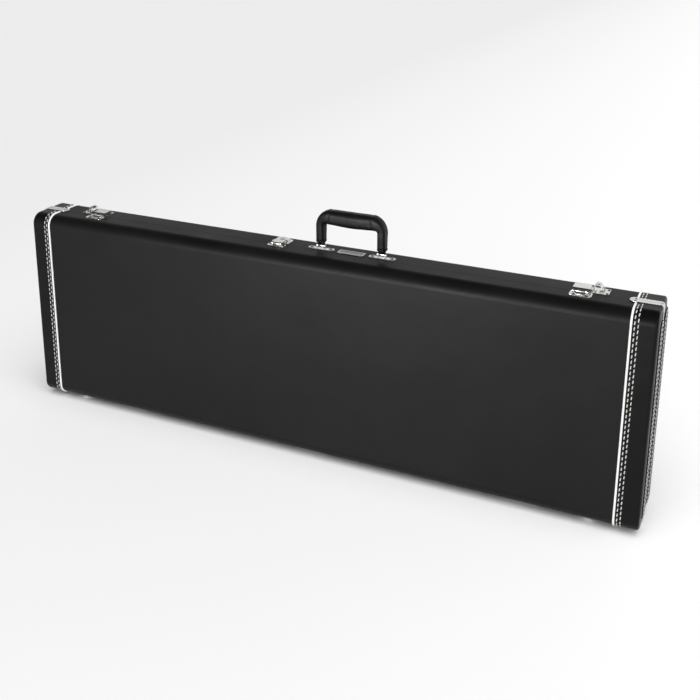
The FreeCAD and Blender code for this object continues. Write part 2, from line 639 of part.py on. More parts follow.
def accessory_pull():
    """The ribbon loop on the flap."""
    middle = (BOX_X[0] + BOX_X[1]) / 2
    y1 = BOX_FRONT - 0.5 - FLAP_THICKNESS
    z1 = BOX_Z[1] - 2
    return box(middle - 8, middle + 8, y1 - 1.2, y1, z1 - 24, z1)


def neck_cradle():
    """The padded block with a rounded notch that carries the neck."""
    block = rounded_rectangle(ROOM_LOW + 1, ROOM_HIGH - 1, 8.0, FLOOR_Y, 4.0, lambda a, b: V(345, b, a))
    block = block.extrude(V(40, 0, 0))
    notch = rounded_rectangle(MIDDLE_Z - 36, MIDDLE_Z + 36, -30.0, 32.0, 14.0, lambda a, b: V(340, b, a))
    return block.cut(notch.extrude(V(50, 0, 0)))


def bolster(x0, x1, low, high, radius):
    """A firm plush block on the body's back."""
    outline = rounded_rectangle(x0, x1, low, high, radius, lambda a, b: V(a, 2.0, b))
    block = outline.extrude(V(0, FLOOR_Y - 2, 0))
    rim = [e for e in block.Edges if max(v.Y for v in e.Vertexes) < 2.01]
    return block.makeFillet(6.0, rim)


def bolsters():
    """Blocks that hold the instrument's body at the tail and the waist."""
    blocks = []
    for x0, x1, height in ((-584.0, -520.0, 62.0), (-120.0, 40.0, 52.0)):
        blocks.append(bolster(x0, x1, ROOM_LOW + 1, ROOM_LOW + height, 20.0))
        blocks.append(bolster(x0, x1, ROOM_HIGH - height, ROOM_HIGH - 1, 20.0))
    return blocks


def lid_cushion():
    """The long flat cushion inside the lid."""
    y0 = FRONT + VINYL + PANEL + LINING
    face = rounded_rectangle(-560, 560, ROOM_LOW + 12, ROOM_HIGH - 12, 25.0, lambda a, b: V(a, y0, b))
    pad = face.extrude(V(0, 12, 0))
    rim = [e for e in pad.Edges if min(v.Y for v in e.Vertexes) > y0 + 11.9]
    return pad.makeFillet(5.0, rim)


def make_inside():
    save("accessory_box", accessory_box())
    save("accessory_flap", accessory_flap())
    save("accessory_pull", accessory_pull())
    save("neck_cradle", neck_cradle())
    save("body_bolsters", *bolsters())
    save("lid_cushion", lid_cushion())


def main():
    os.makedirs("parts", exist_ok=True)
    make_shells()
    make_end_latches()
    make_lock()
    make_handle()
    save("nameplate", nameplate())
    make_hinges_and_feet()
    for half in HALVES:
        save(f"{half}_rivets", *rivets(half))
    make_inside()


main()
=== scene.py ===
"""Looks of a black hard case: leather ends, piping, stitching, handle, nickel fittings and a plush inside.

Everything is in metres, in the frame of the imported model: X along the case, the lid on the -Y side, Z up.
"""
import json
import math

import bmesh
import bpy
from mathutils import Matrix, Vector, noise


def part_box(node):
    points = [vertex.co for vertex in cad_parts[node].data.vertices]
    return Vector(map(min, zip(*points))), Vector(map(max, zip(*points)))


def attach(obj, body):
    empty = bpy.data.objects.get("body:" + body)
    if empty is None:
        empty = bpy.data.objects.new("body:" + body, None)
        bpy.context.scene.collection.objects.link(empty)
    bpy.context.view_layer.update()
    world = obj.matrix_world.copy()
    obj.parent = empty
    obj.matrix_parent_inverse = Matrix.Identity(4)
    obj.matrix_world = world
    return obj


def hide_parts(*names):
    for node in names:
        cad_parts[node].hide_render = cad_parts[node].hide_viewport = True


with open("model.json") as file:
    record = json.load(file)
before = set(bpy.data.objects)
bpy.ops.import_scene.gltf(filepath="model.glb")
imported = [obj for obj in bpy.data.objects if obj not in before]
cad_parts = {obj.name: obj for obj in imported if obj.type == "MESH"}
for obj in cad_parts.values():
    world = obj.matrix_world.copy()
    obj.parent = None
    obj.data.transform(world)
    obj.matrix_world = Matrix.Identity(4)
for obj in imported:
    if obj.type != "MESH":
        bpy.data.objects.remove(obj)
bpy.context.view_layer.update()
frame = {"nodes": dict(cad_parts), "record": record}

MM = 0.001
NODES = frame["nodes"]
SIDES = (("left", -1), ("right", 1))
HALVES = ("body", "lid")
AWAY = {"body": 1, "lid": -1}            # direction along Y from the seam into each half

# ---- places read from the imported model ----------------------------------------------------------
body_low, body_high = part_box("body_covering")
lid_low, lid_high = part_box("lid_covering")
TOP, BOTTOM = body_high.z, body_low.z
MIDDLE_Z = (TOP + BOTTOM) / 2
FACE = {"body": body_high.y, "lid": lid_low.y}
SEAM = {"body": body_low.y, "lid": lid_high.y}
cap_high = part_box("body_end_cap_right")[1]
pipe_low, pipe_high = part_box("body_piping_right")
PIPING_X = (pipe_low.x + pipe_high.x) / 2
PIPING_RADIUS = (pipe_high.x - pipe_low.x) / 2
PIPING_LIFT = pipe_high.z - TOP - PIPING_RADIUS
END_X = cap_high.x
LEATHER_PROUD = cap_high.z - TOP

# ---- sizes of the finish ------------------------------------------------------------------------
EDGE_RADIUS = 21 * MM
RIM_RADIUS = 4.6 * MM
STITCH_ROWS = (5.4 * MM, 10.8 * MM)      # from the middle of the piping
STITCH_PITCH = 9.4 * MM
STITCH_LENGTH = 6.8 * MM
THREAD_WIDTH, THREAD_HEIGHT = 1.8 * MM, 1.1 * MM
BUMPER_PITCH = 7.6 * MM
TRIM_CLEARANCE = 10.6 * MM               # piping and stitches stop this far from the seam
PAD_EDGE, PAD_GRID = 5 * MM, 5 * MM      # rounding of padded edges, and size of their quads
LID_CUSHION_SEAMS = (-0.187, 0.187)      # along X


# ---- the outline of one half --------------------------------------------------------------------
def section_length(half):
    """Length of a half's outline, from its top seam edge over its face to its bottom seam edge."""
    flat = abs(FACE[half] - SEAM[half]) - EDGE_RADIUS
    tall = TOP - BOTTOM - 2 * EDGE_RADIUS
    return 2 * flat + math.pi * EDGE_RADIUS + tall


def section_at(half, s, grow=0.0):
    """Point (y, z) and outward normal at distance s along a half's outline, moved out by grow."""
    way = AWAY[half]
    flat = abs(FACE[half] - SEAM[half]) - EDGE_RADIUS
    arc = math.pi / 2 * EDGE_RADIUS
    tall = TOP - BOTTOM - 2 * EDGE_RADIUS
    shoulder_y = SEAM[half] + way * flat
    if s <= flat:
        point, normal = (SEAM[half] + way * s, TOP), (0.0, 1.0)
    elif s <= flat + arc:
        turn = (s - flat) / EDGE_RADIUS
        normal = (way * math.sin(turn), math.cos(turn))
        point = (shoulder_y + EDGE_RADIUS * normal[0], TOP - EDGE_RADIUS + EDGE_RADIUS * normal[1])
    elif s <= flat + arc + tall:
        point, normal = (FACE[half], TOP - EDGE_RADIUS - (s - flat - arc)), (way, 0.0)
    elif s <= flat + 2 * arc + tall:
        turn = (s - flat - arc - tall) / EDGE_RADIUS
        normal = (way * math.cos(turn), -math.sin(turn))
        point = (shoulder_y + EDGE_RADIUS * normal[0], BOTTOM + EDGE_RADIUS + EDGE_RADIUS * normal[1])
    else:
        point = (shoulder_y - way * (s - flat - 2 * arc - tall), BOTTOM)
        normal = (0.0, -1.0)
    return (point[0] + grow * normal[0], point[1] + grow * normal[1]), normal


# ---- shader building ----------------------------------------------------------------------------
class Shader:
    """A Principled material, built one node at a time. Names are the sockets' own names."""

    def __init__(self, name, **fixed):
        self.material = bpy.data.materials.new(name)
        self.material.use_nodes = True
        self.tree = self.material.node_tree
        self.surface = self.tree.nodes["Principled BSDF"]
        self.place = self.node("TexCoord").outputs["Object"]
        for socket, value in fixed.items():
            self.surface.inputs[socket.replace("_", " ")].default_value = value

    def node(self, kind, settings=(), **inputs):
        made = self.tree.nodes.new("ShaderNode" + kind)
        for attribute, value in dict(settings).items():
            setattr(made, attribute, value)
        for socket, value in inputs.items():
            self.feed(made.inputs[socket.replace("_", " ")], value)
        return made

    def feed(self, socket, value):
        if isinstance(value, bpy.types.NodeSocket):
            self.tree.links.new(value, socket)
        else:
            socket.default_value = value

    def noise(self, scale, detail=3.0, roughness=0.5, distortion=0.0, vector=None):
        return self.node("TexNoise", Vector=vector or self.place, Scale=scale, Detail=detail,
                         Roughness=roughness, Distortion=distortion).outputs["Fac"]

    def cells(self, scale, feature, vector=None):
        return self.node("TexVoronoi", {"feature": feature}, Vector=vector or self.place,
                         Scale=scale).outputs["Distance"]

    def stretch(self, x, y, z):
        made = self.node("Mapping", Vector=self.place)
        made.inputs["Scale"].default_value = (x, y, z)
        return made.outputs["Vector"]

    def spread(self, value, low, high, to_low=0.0, to_high=1.0):
        return self.node("MapRange", Value=value, From_Min=low, From_Max=high, To_Min=to_low,
                         To_Max=to_high).outputs["Result"]

    def math(self, operation, a, b):
        made = self.node("Math", {"operation": operation})
        self.feed(made.inputs[0], a)
        self.feed(made.inputs[1], b)
        return made.outputs[0]

    def ramp(self, value, *stops):
        made = self.node("ValToRGB", Fac=value)
        elements = made.color_ramp.elements
        while len(elements) < len(stops):
            elements.new(0.5)
        for element, (position, color) in zip(elements, stops):
            element.position = position
            element.color = (*color, 1.0)
        return made.outputs["Color"]

    def bump(self, height, distance, strength, under=None):
        made = self.node("Bump", Height=height, Distance=distance, Strength=strength)
        if under is not None:
            self.tree.links.new(under, made.inputs["Normal"])
        return made.outputs["Normal"]

    def finish(self, **linked):
        for socket, value in linked.items():
            self.tree.links.new(value, self.surface.inputs[socket.replace("_", " ")])
        return self.material


def vinyl_material():
    """Pebbled black vinyl cloth on board: satin, with slight waves and rubbed places."""
    s = Shader("black_vinyl", Specular_IOR_Level=0.15, IOR=1.5)
    warp = s.node("VectorMath", {"operation": "MULTIPLY_ADD"})
    s.feed(warp.inputs[0], s.node("TexNoise", Vector=s.place, Scale=420.0, Detail=2.0).outputs["Color"])
    warp.inputs[1].default_value = (0.0012, 0.0012, 0.0012)
    s.feed(warp.inputs[2], s.place)
    pebble = s.cells(620.0, "SMOOTH_F1", warp.outputs[0])
    waves = s.noise(16.0, 2.0)
    rubbed = s.noise(5.5, 6.0, 0.62)
    normal = s.bump(s.noise(2.6, 2.0), 0.012, 0.6)
    normal = s.bump(waves, 0.0012, 0.5, normal)
    normal = s.bump(pebble, 0.00018, 0.6, normal)
    color = s.ramp(rubbed, (0.3, (0.0030, 0.0030, 0.0031)), (0.72, (0.0055, 0.0055, 0.0057)))
    roughness = s.math("ADD", s.spread(rubbed, 0.3, 0.75, 0.40, 0.50),
                       s.spread(pebble, 0.2, 0.7, 0.0, 0.06))
    return s.finish(Base_Color=color, Roughness=roughness, Normal=normal)


def leather_material(name, gloss, dark, light):
    """Fine-grained black leather with creases and a light polish."""
    s = Shader(name, Specular_IOR_Level=0.12, IOR=1.48, Coat_Weight=0.03, Coat_Roughness=0.28)
    pores = s.cells(950.0, "DISTANCE_TO_EDGE")
    fine = s.noise(2600.0, 2.0)
    crease = s.noise(60.0, 5.0, 0.6, 0.8)
    height = s.math("ADD", s.spread(pores, 0.0, 0.22, 0.0, 1.0), s.math("MULTIPLY", fine, 0.25))
    normal = s.bump(crease, 0.0005, 0.5)
    normal = s.bump(height, 0.00006, 0.6, normal)
    worn = s.noise(12.0, 5.0, 0.6)
    color = s.ramp(worn, (0.32, dark), (0.75, light))
    roughness = s.spread(crease, 0.25, 0.8, gloss - 0.05, gloss + 0.09)
    return s.finish(Base_Color=color, Roughness=roughness, Normal=normal)


def piping_material():
    """White vinyl cord, slightly soiled in places."""
    s = Shader("white_piping", Specular_IOR_Level=0.5, IOR=1.5)
    soil = s.noise(90.0, 4.0, 0.65)
    fine = s.noise(1500.0, 2.0)
    color = s.ramp(soil, (0.25, (0.86, 0.855, 0.84)), (0.55, (0.96, 0.957, 0.95)))
    normal = s.bump(fine, 0.00003, 0.5)
    return s.finish(Base_Color=color, Roughness=s.spread(soil, 0.2, 0.8, 0.34, 0.5), Normal=normal)


def thread_material(name, dark, light):
    """Twisted waxed thread."""
    s = Shader(name, Specular_IOR_Level=0.4, Sheen_Weight=0.15, Sheen_Roughness=0.5)
    strands = s.noise(3200.0, 3.0, 0.6)
    color = s.ramp(strands, (0.3, dark), (0.65, light))
    return s.finish(Base_Color=color, Roughness=s.spread(strands, 0.2, 0.8, 0.62, 0.82),
                    Normal=s.bump(strands, 0.00012, 0.7))


def nickel_material(name, tone, low, high):
    """Bright nickel plate with fine scratches and a few dull patches."""
    s = Shader(name, Metallic=1.0)
    dull = s.noise(70.0, 5.0, 0.6)
    scratches = s.noise(240.0, 6.0, 0.7, vector=s.stretch(1.0, 9.0, 9.0))
    color = s.ramp(dull, (0.3, tuple(c * 0.82 for c in tone)), (0.7, tone))
    roughness = s.math("ADD", s.spread(dull, 0.3, 0.75, low, high),
                       s.spread(scratches, 0.45, 0.75, 0.0, 0.07))
    normal = s.bump(scratches, 0.00003, 0.35)
    normal = s.bump(s.noise(110.0, 1.0), 0.0004, 0.7, normal)
    return s.finish(Base_Color=color, Roughness=roughness, Normal=normal)


def plush_material(name, dark, light):
    """Short-pile plush: soft nap with brushed patches."""
    s = Shader(name, Sheen_Weight=0.9, Sheen_Roughness=0.35, Specular_IOR_Level=0.2)
    s.surface.inputs["Sheen Tint"].default_value = (*light, 1.0)
    nap = s.noise(1900.0, 3.0, 0.7)
    brushed = s.noise(26.0, 4.0, 0.6, 0.6)
    color = s.ramp(s.math("ADD", s.math("MULTIPLY", nap, 0.55), s.math("MULTIPLY", brushed, 0.45)),
                   (0.34, dark), (0.66, light))
    normal = s.bump(brushed, 0.0016, 0.4)
    normal = s.bump(nap, 0.0003, 0.8, normal)
    return s.finish(Base_Color=color, Roughness=s.spread(nap, 0.2, 0.8, 0.82, 0.96), Normal=normal)


def plywood_material():
    """Birch plywood: pale veneers edge-on, with darker glue lines."""
    s = Shader("plywood", Specular_IOR_Level=0.3)
    grain = s.noise(60.0, 6.0, 0.6, 1.2, s.stretch(0.25, 6.0, 3.0))
    plies = s.node("TexWave", {"wave_type": "BANDS", "bands_direction": "Z"}, Vector=s.place, Scale=220.0,
                   Distortion=0.6, Detail=2.0).outputs["Fac"]
    color = s.ramp(s.math("ADD", s.math("MULTIPLY", grain, 0.75), s.math("MULTIPLY", plies, 0.25)),
                   (0.25, (0.34, 0.22, 0.12)), (0.7, (0.66, 0.49, 0.31)))
    return s.finish(Base_Color=color, Roughness=s.spread(grain, 0.2, 0.8, 0.5, 0.72),
                    Normal=s.bump(grain, 0.0002, 0.4))


def ribbon_material():
    """Black satin ribbon with a fine cross weave."""
    s = Shader("ribbon", Specular_IOR_Level=0.5, Sheen_Weight=0.3, Sheen_Roughness=0.3)
    weave = s.node("TexWave", {"bands_direction": "Z"}, Vector=s.place, Scale=900.0,
                   Distortion=0.3).outputs["Fac"]
    color = s.ramp(weave, (0.2, (0.010, 0.010, 0.011)), (0.8, (0.035, 0.035, 0.038)))
    return s.finish(Base_Color=color, Roughness=s.spread(weave, 0.0, 1.0, 0.38, 0.5),
                    Normal=s.bump(weave, 0.0001, 0.5))


def brushed_material(name, dark, light):
    """Metal brushed along X."""
    s = Shader(name, Metallic=1.0)
    lines = s.noise(900.0, 4.0, 0.65, vector=s.stretch(0.05, 3.0, 3.0))
    color = s.ramp(lines, (0.3, dark), (0.7, light))
    return s.finish(Base_Color=color, Roughness=s.spread(lines, 0.3, 0.7, 0.26, 0.42),
                    Normal=s.bump(lines, 0.00005, 0.5))


MATERIALS = {
    "black_vinyl": vinyl_material(),
    "end_leather": leather_material("end_leather", 0.34, (0.0022, 0.0022, 0.0023),
                                    (0.0048, 0.0048, 0.0050)),
    "handle_leather": leather_material("handle_leather", 0.38, (0.0030, 0.0030, 0.0031),
                                       (0.0075, 0.0075, 0.0078)),
    "white_piping": piping_material(),
    "white_thread": thread_material("white_thread", (0.42, 0.41, 0.39), (0.78, 0.77, 0.74)),
    "black_thread": thread_material("black_thread", (0.008, 0.008, 0.008), (0.03, 0.03, 0.03)),
    # light grey welt colour: a painted highlight of the bumper pads' rounded edges
    "welt_painted_highlight_grey": leather_material("welt_painted_highlight_grey", 0.45, (0.16, 0.16, 0.16), (0.30, 0.30, 0.30)),
    "nickel": nickel_material("nickel", (0.80, 0.79, 0.77), 0.13, 0.26),
    "steel": nickel_material("steel", (0.58, 0.58, 0.58), 0.24, 0.38),
    "lock_brass": nickel_material("lock_brass", (0.76, 0.71, 0.60), 0.16, 0.3),
    "brushed_plate": brushed_material("brushed_plate", (0.40, 0.40, 0.40), (0.72, 0.72, 0.72)),
    "dark_field": brushed_material("dark_field", (0.10, 0.10, 0.10), (0.42, 0.42, 0.42)),
    "plywood": plywood_material(),
    "lip_board": leather_material("lip_board", 0.6, (0.006, 0.006, 0.006), (0.014, 0.013, 0.013)),
    "plush": plush_material("plush", (0.30, 0.085, 0.012), (0.72, 0.27, 0.055)),
    "ribbon": ribbon_material(),
}


# ---- mesh building ------------------------------------------------------------------------------
def show(name, data):
    """Puts an object for a mesh, light or camera into the scene."""
    obj = bpy.data.objects.new(name, data)
    bpy.context.scene.collection.objects.link(obj)
    return obj


def finish_piece(name, mesh, built, body, slot, material=None):
    """Puts a bmesh into its mesh and makes it a smooth-shaded object that rides on a body."""
    built.to_mesh(mesh)
    built.free()
    for polygon in mesh.polygons:
        polygon.use_smooth = True
    mesh.materials.append(MATERIALS[material or slot])
    obj = show(name, mesh)
    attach(obj, body)
    return obj


def make_piece(name, verts, faces, body, slot, material=None):
    """A mesh object from points and faces, with doubled points merged and faces turned outward."""
    mesh = bpy.data.meshes.new(name)
    mesh.from_pydata([tuple(v) for v in verts], [], faces)
    built = bmesh.new()
    built.from_mesh(mesh)
    bmesh.ops.remove_doubles(built, verts=built.verts, dist=0.005 * MM)
    bmesh.ops.recalc_face_normals(built, faces=built.faces)
    return finish_piece(name, mesh, built, body, slot, material)


def grid_faces(rows, columns, start=0, wrap=False, closed=False):
    """Quads of a grid of points. wrap joins each row's ends, and closed the last row to the first."""
    faces = []
    for r in range(rows if closed else rows - 1):
        here, above = start + r * columns, start + (r + 1) % rows * columns
        for c in range(columns if wrap else columns - 1):
            n = (c + 1) % columns
            faces.append((here + c, here + n, above + n, above + c))
    return faces


def end_caps(rows, columns):
    """The two faces that close the first and last rows of a wrapped grid."""
    return [tuple(range(columns)), tuple(range((rows - 1) * columns, rows * columns))]


def circle(count):
    """The angles of count points round a circle."""
    return [2 * math.pi * i / count for i in range(count)]


def lengths_along(points):
    """Distance from the first point of a line to each of its points."""
    lengths = [0.0]
    for a, b in zip(points, points[1:]):
        lengths.append(lengths[-1] + math.dist(a, b))
    return lengths


def rounding(near, radius):
    """How far a rounded edge has dropped at a distance near from its rim."""
    if near >= radius:
        return 0.0
    return (1 - math.sqrt(max(0.0, 1 - (1 - near / radius) ** 2))) * radius


def bell(x, middle, width):
    """A smooth bump of height 1 round middle."""
    return math.exp(-((x - middle) / width) ** 2)


def squared(value, power):
    """Pushes a sine or cosine towards 1 or -1, so that a circle turns into a rounded square."""
    return math.copysign(abs(value) ** power, value)


def soften(obj, width):
    """Rounds the sharp edges of a piece."""
    bevel = obj.modifiers.new("soft_edges", "BEVEL")
    bevel.width = width
    bevel.segments = 2
    bevel.limit_method = "ANGLE"
    bevel.angle_limit = math.radians(35)
    bevel.use_clamp_overlap = True


def add_stitch(verts, faces, centre, along, out, length=STITCH_LENGTH, width=THREAD_WIDTH,
               height=THREAD_HEIGHT):
    """One stitch of twisted thread that dives into the leather at both ends."""
    across = along.cross(out)
    steps, sides, start = 9, 8, len(verts)
    for k in range(steps):
        t = 2 * k / (steps - 1) - 1
        middle = centre + along * (t * length / 2) + out * (height * (0.42 - 0.95 * t ** 6))
        full = math.sqrt(max(1 - t ** 8, 0.03))
        for turn in circle(sides):
            twist = 1 + 0.14 * math.cos(2 * turn + 5.5 * t)
            verts.append(middle + across * (math.cos(turn) * width / 2 * full * twist)
                         + out * (math.sin(turn) * height / 2 * full * twist))
    faces += grid_faces(steps, sides, start, wrap=True)
    faces.append(tuple(range(start + sides - 1, start - 1, -1)))
    faces.append(tuple(range(start + (steps - 1) * sides, start + steps * sides)))


# ---- leather ends, piping and their stitching ---------------------------------------------------
def leather_height(d, s):
    """How far the leather stands out at distance d from the piping: it swells between the sewn rows."""
    height = LEATHER_PROUD
    height += 0.25 * MM * bell(d, 3.4 * MM, 1.1 * MM)
    height += 0.30 * MM * bell(d, 8.1 * MM, 1.7 * MM)
    pull = 0.65 + 0.35 * math.cos(2 * math.pi * s / STITCH_PITCH)
    for row in STITCH_ROWS:
        height -= 0.5 * MM * pull * bell(d, row, 0.9 * MM)
    return height


def leather_end(half, side_word, side):
    """The leather over one end of one half: sewn edge, side, rolled rim and flat end."""
    total = section_length(half)
    rows = round(total / (STITCH_PITCH / 4))
    edge = PIPING_RADIUS
    # columns of points, as distances from the middle of the piping, closest where the rows are sewn
    runs = [edge, edge + 0.4 * MM]
    runs += [d * MM for d in (3.2, 4.4, 5.0, 5.4, 5.8, 6.6, 8.1, 9.6, 10.3, 10.8, 11.3, 12.2)]
    runs += [d * MM for d in (14, 17, 21, 26, 31, 35)]
    rim_start = END_X - PIPING_X - RIM_RADIUS
    rim_turns = [math.radians(a) for a in (0, 15, 30, 45, 60, 75, 90)]
    inward = (0.03, 0.08, 0.2, 0.45, 0.75, 1.0)  # shares of the way to the middle of the end
    tuck, wave_height, wave_fade = 0.7 * MM, 0.22 * MM, 12 * MM
    centre = Vector((END_X, SEAM[half], MIDDLE_Z))
    verts = []
    for r in range(rows + 1):
        s = total * r / rows
        for d in runs:
            wave = noise.noise(Vector((side * d, s, 3.0 if half == "lid" else 7.0)) * 28)
            height = leather_height(d, s) + wave_height * wave * min(1.0, (rim_start - d) / wave_fade)
            if d == edge:
                height = -tuck
            (y, z), _ = section_at(half, s, height)
            verts.append(Vector((PIPING_X + d, y, z)))
        for turn in rim_turns:
            (y, z), _ = section_at(half, s, LEATHER_PROUD - RIM_RADIUS * (1 - math.cos(turn)))
            verts.append(Vector((PIPING_X + rim_start + RIM_RADIUS * math.sin(turn), y, z)))
        rim = verts[-1]
        verts += [rim.lerp(centre, share) for share in inward]
    columns = len(runs) + len(rim_turns) + len(inward)
    faces = grid_faces(rows + 1, columns)
    verts = [Vector((side * v.x, v.y, v.z)) for v in verts]
    obj = make_piece(f"{half}_leather_end_{side_word}", verts, faces, half, "end_leather")
    outward = sum((p.normal.x * side for p in obj.data.polygons if abs(p.normal.x) > 0.9), 0.0)
    if outward < 0:
        obj.data.flip_normals()
    solid = obj.modifiers.new("thickness", "SOLIDIFY")
    solid.thickness = 1.0 * MM
    solid.offset = -1.0
    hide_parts(f"{half}_end_cap_{side_word}")


def cord_of_piping(half, side_word, side):
    """The white piping of one half, tucked under the metal tips at both ends."""
    total = section_length(half)
    reach = 0.6 * MM  # how far the cord goes in under the metal
    first, last = TRIM_CLEARANCE - reach, total - TRIM_CLEARANCE + reach
    rows, sides, tuck = 150, 14, 2.5 * MM
    verts = []
    for r in range(rows + 1):
        s = first + (last - first) * r / rows
        near = min(s - first, last - s)
        sink = max(0.0, 1 - near / tuck) ** 2
        (y, z), normal = section_at(half, s, PIPING_LIFT - 1.2 * MM * sink)
        radius = PIPING_RADIUS * (1 - 0.25 * sink)
        radius *= 1 + 0.035 * noise.noise(Vector((side * 9, s * 60, AWAY[half] * 5)))
        for turn in circle(sides):
            out, across = radius * math.sin(turn), radius * math.cos(turn)
            verts.append(Vector((side * (PIPING_X + across), y + normal[0] * out, z + normal[1] * out)))
    faces = grid_faces(rows + 1, sides, wrap=True) + end_caps(rows + 1, sides)
    obj = make_piece(f"{half}_piping_cord_{side_word}", verts, faces, half, "white_piping")
    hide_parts(f"{half}_piping_{side_word}")


def edge_stitches(half, side_word, side):
    """The double row of white stitches beside the piping of one half."""
    total = section_length(half)
    verts, faces = [], []
    count = int((total - 2 * TRIM_CLEARANCE) / STITCH_PITCH)
    first = (total - count * STITCH_PITCH) / 2
    for row, d in enumerate(STITCH_ROWS):
        for i in range(count + row):
            s = first + (i + (0.5 if row == 0 else 0.0)) * STITCH_PITCH
            (y, z), normal = section_at(half, s, LEATHER_PROUD - 0.15 * MM)
            out = Vector((0, *normal))
            along = Vector((0.10 * side, normal[1], -normal[0])).normalized()
            sway = 0.12 * MM * noise.noise(Vector((i * 3.7, d * 900, side)))
            centre = Vector((side * (PIPING_X + d + sway), y, z))
            add_stitch(verts, faces, centre, (along - out * along.dot(out)).normalized(), out)
    make_piece(f"{half}_edge_stitches_{side_word}", verts, faces, half, "white_piping", "white_thread")


# ---- bumpers on the ends ------------------------------------------------------------------------
def stadium(low, high, radius, inset, count=12):
    """Points (y, z) round a rectangle with round corners, moved in by inset."""
    r = max(radius - inset, 0.3 * MM)
    corners = ((high.y - inset - r, high.z - inset - r, 0), (low.y + inset + r, high.z - inset - r, 90),
               (low.y + inset + r, low.z + inset + r, 180), (high.y - inset - r, low.z + inset + r, 270))
    points = []
    for cy, cz, start in corners:
        for i in range(count + 1):
            turn = math.radians(start + 90 * i / count)
            points.append((cy + r * math.cos(turn), cz + r * math.sin(turn)))
    return points


def bumper(half, side_word, side):
    """A padded leather strip with a sewn edge, and a welt round its foot in light grey: a painted highlight.
    """
    node = f"{half}_bumper_{side_word}"
    low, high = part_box(node)
    thick = (high.x - low.x) * 0.8
    base = low.x if side > 0 else -high.x
    corner, seam = 12 * MM, 3.2  # the seam's distance from the edge is in mm
    # distance in from the edge in mm, and rise as a share of the thickness
    profile = ((0.0, 0.0), (0.0, 0.35), (0.15, 0.62), (0.5, 0.80), (1.2, 0.92), (2.0, 0.96),
               (2.7, 0.90), (seam, 0.82), (3.7, 0.90), (4.6, 0.97), (6.5, 1.0), (9.5, 1.0))
    verts = []
    for inset, rise in profile:
        ring = stadium(low, high, corner, inset * MM)
        for (y, z), at in zip(ring, lengths_along(ring)):
            pull = 0.18 * MM * bell(inset, seam, 0.7) * math.cos(2 * math.pi * at / BUMPER_PITCH)
            verts.append((side * (base + rise * thick - pull), y, z))
    columns = len(ring)
    faces = grid_faces(len(profile), columns, wrap=True) + end_caps(len(profile), columns)
    obj = make_piece(f"{half}_bumper_pad_{side_word}", verts, faces, half, "end_leather")
    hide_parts(node)

    verts, faces = [], []
    path = stadium(low, high, corner, seam * MM, 16)
    loop = path + path[:1]
    lengths = lengths_along(loop)
    count = int(lengths[-1] / BUMPER_PITCH)
    out = Vector((side, 0, 0))
    segment = 0
    for i in range(count):
        at = lengths[-1] * i / count
        while lengths[segment + 1] < at:
            segment += 1
        a, b = Vector((0, *loop[segment])), Vector((0, *loop[segment + 1]))
        share = (at - lengths[segment]) / max(lengths[segment + 1] - lengths[segment], 1e-9)
        centre = a.lerp(b, share)
        centre.x = side * (base + 0.88 * thick)
        along = (b - a).normalized()
        add_stitch(verts, faces, centre, along, out, BUMPER_PITCH * 0.68, 2.0 * MM, 1.2 * MM)
    make_piece(f"{half}_bumper_stitches_{side_word}", verts, faces, half, "white_piping", "white_thread")

    verts = []
    # the welt's light grey colour is a painted highlight, standing in for the light line along the pad's edge
    line, sides = stadium(low, high, corner, -0.5 * MM), 8
    radius, lift = 0.75, 0.55  # of the welt, in mm
    for k, (y, z) in enumerate(line):
        before, after = Vector(line[k - 1]), Vector(line[(k + 1) % len(line)])
        along = (after - before).normalized()
        for turn in circle(sides):
            out_y = along.y * math.cos(turn) * radius * MM
            out_z = -along.x * math.cos(turn) * radius * MM
            x = side * (base + lift * MM + radius * MM * math.sin(turn))
            verts.append((x, y + out_y, z + out_z))
    faces = grid_faces(len(line), sides, wrap=True, closed=True)
    make_piece(f"{half}_bumper_welt_{side_word}", verts, faces, half, "brushed_plate", "welt_painted_highlight_grey")


# ---- handle -------------------------------------------------------------------------------------
def smooth_between(stations, d):
    """Values at d of a table of (distance, value, value...), eased between its rows."""
    for before, after in zip(stations, stations[1:]):
        if d <= after[0]:
            share = max(0.0, (d - before[0]) / (after[0] - before[0]))
            share = share * share * (3 - 2 * share)
            return [a + (b - a) * share for a, b in zip(before[1:], after[1:])]
    return list(stations[-1][1:])


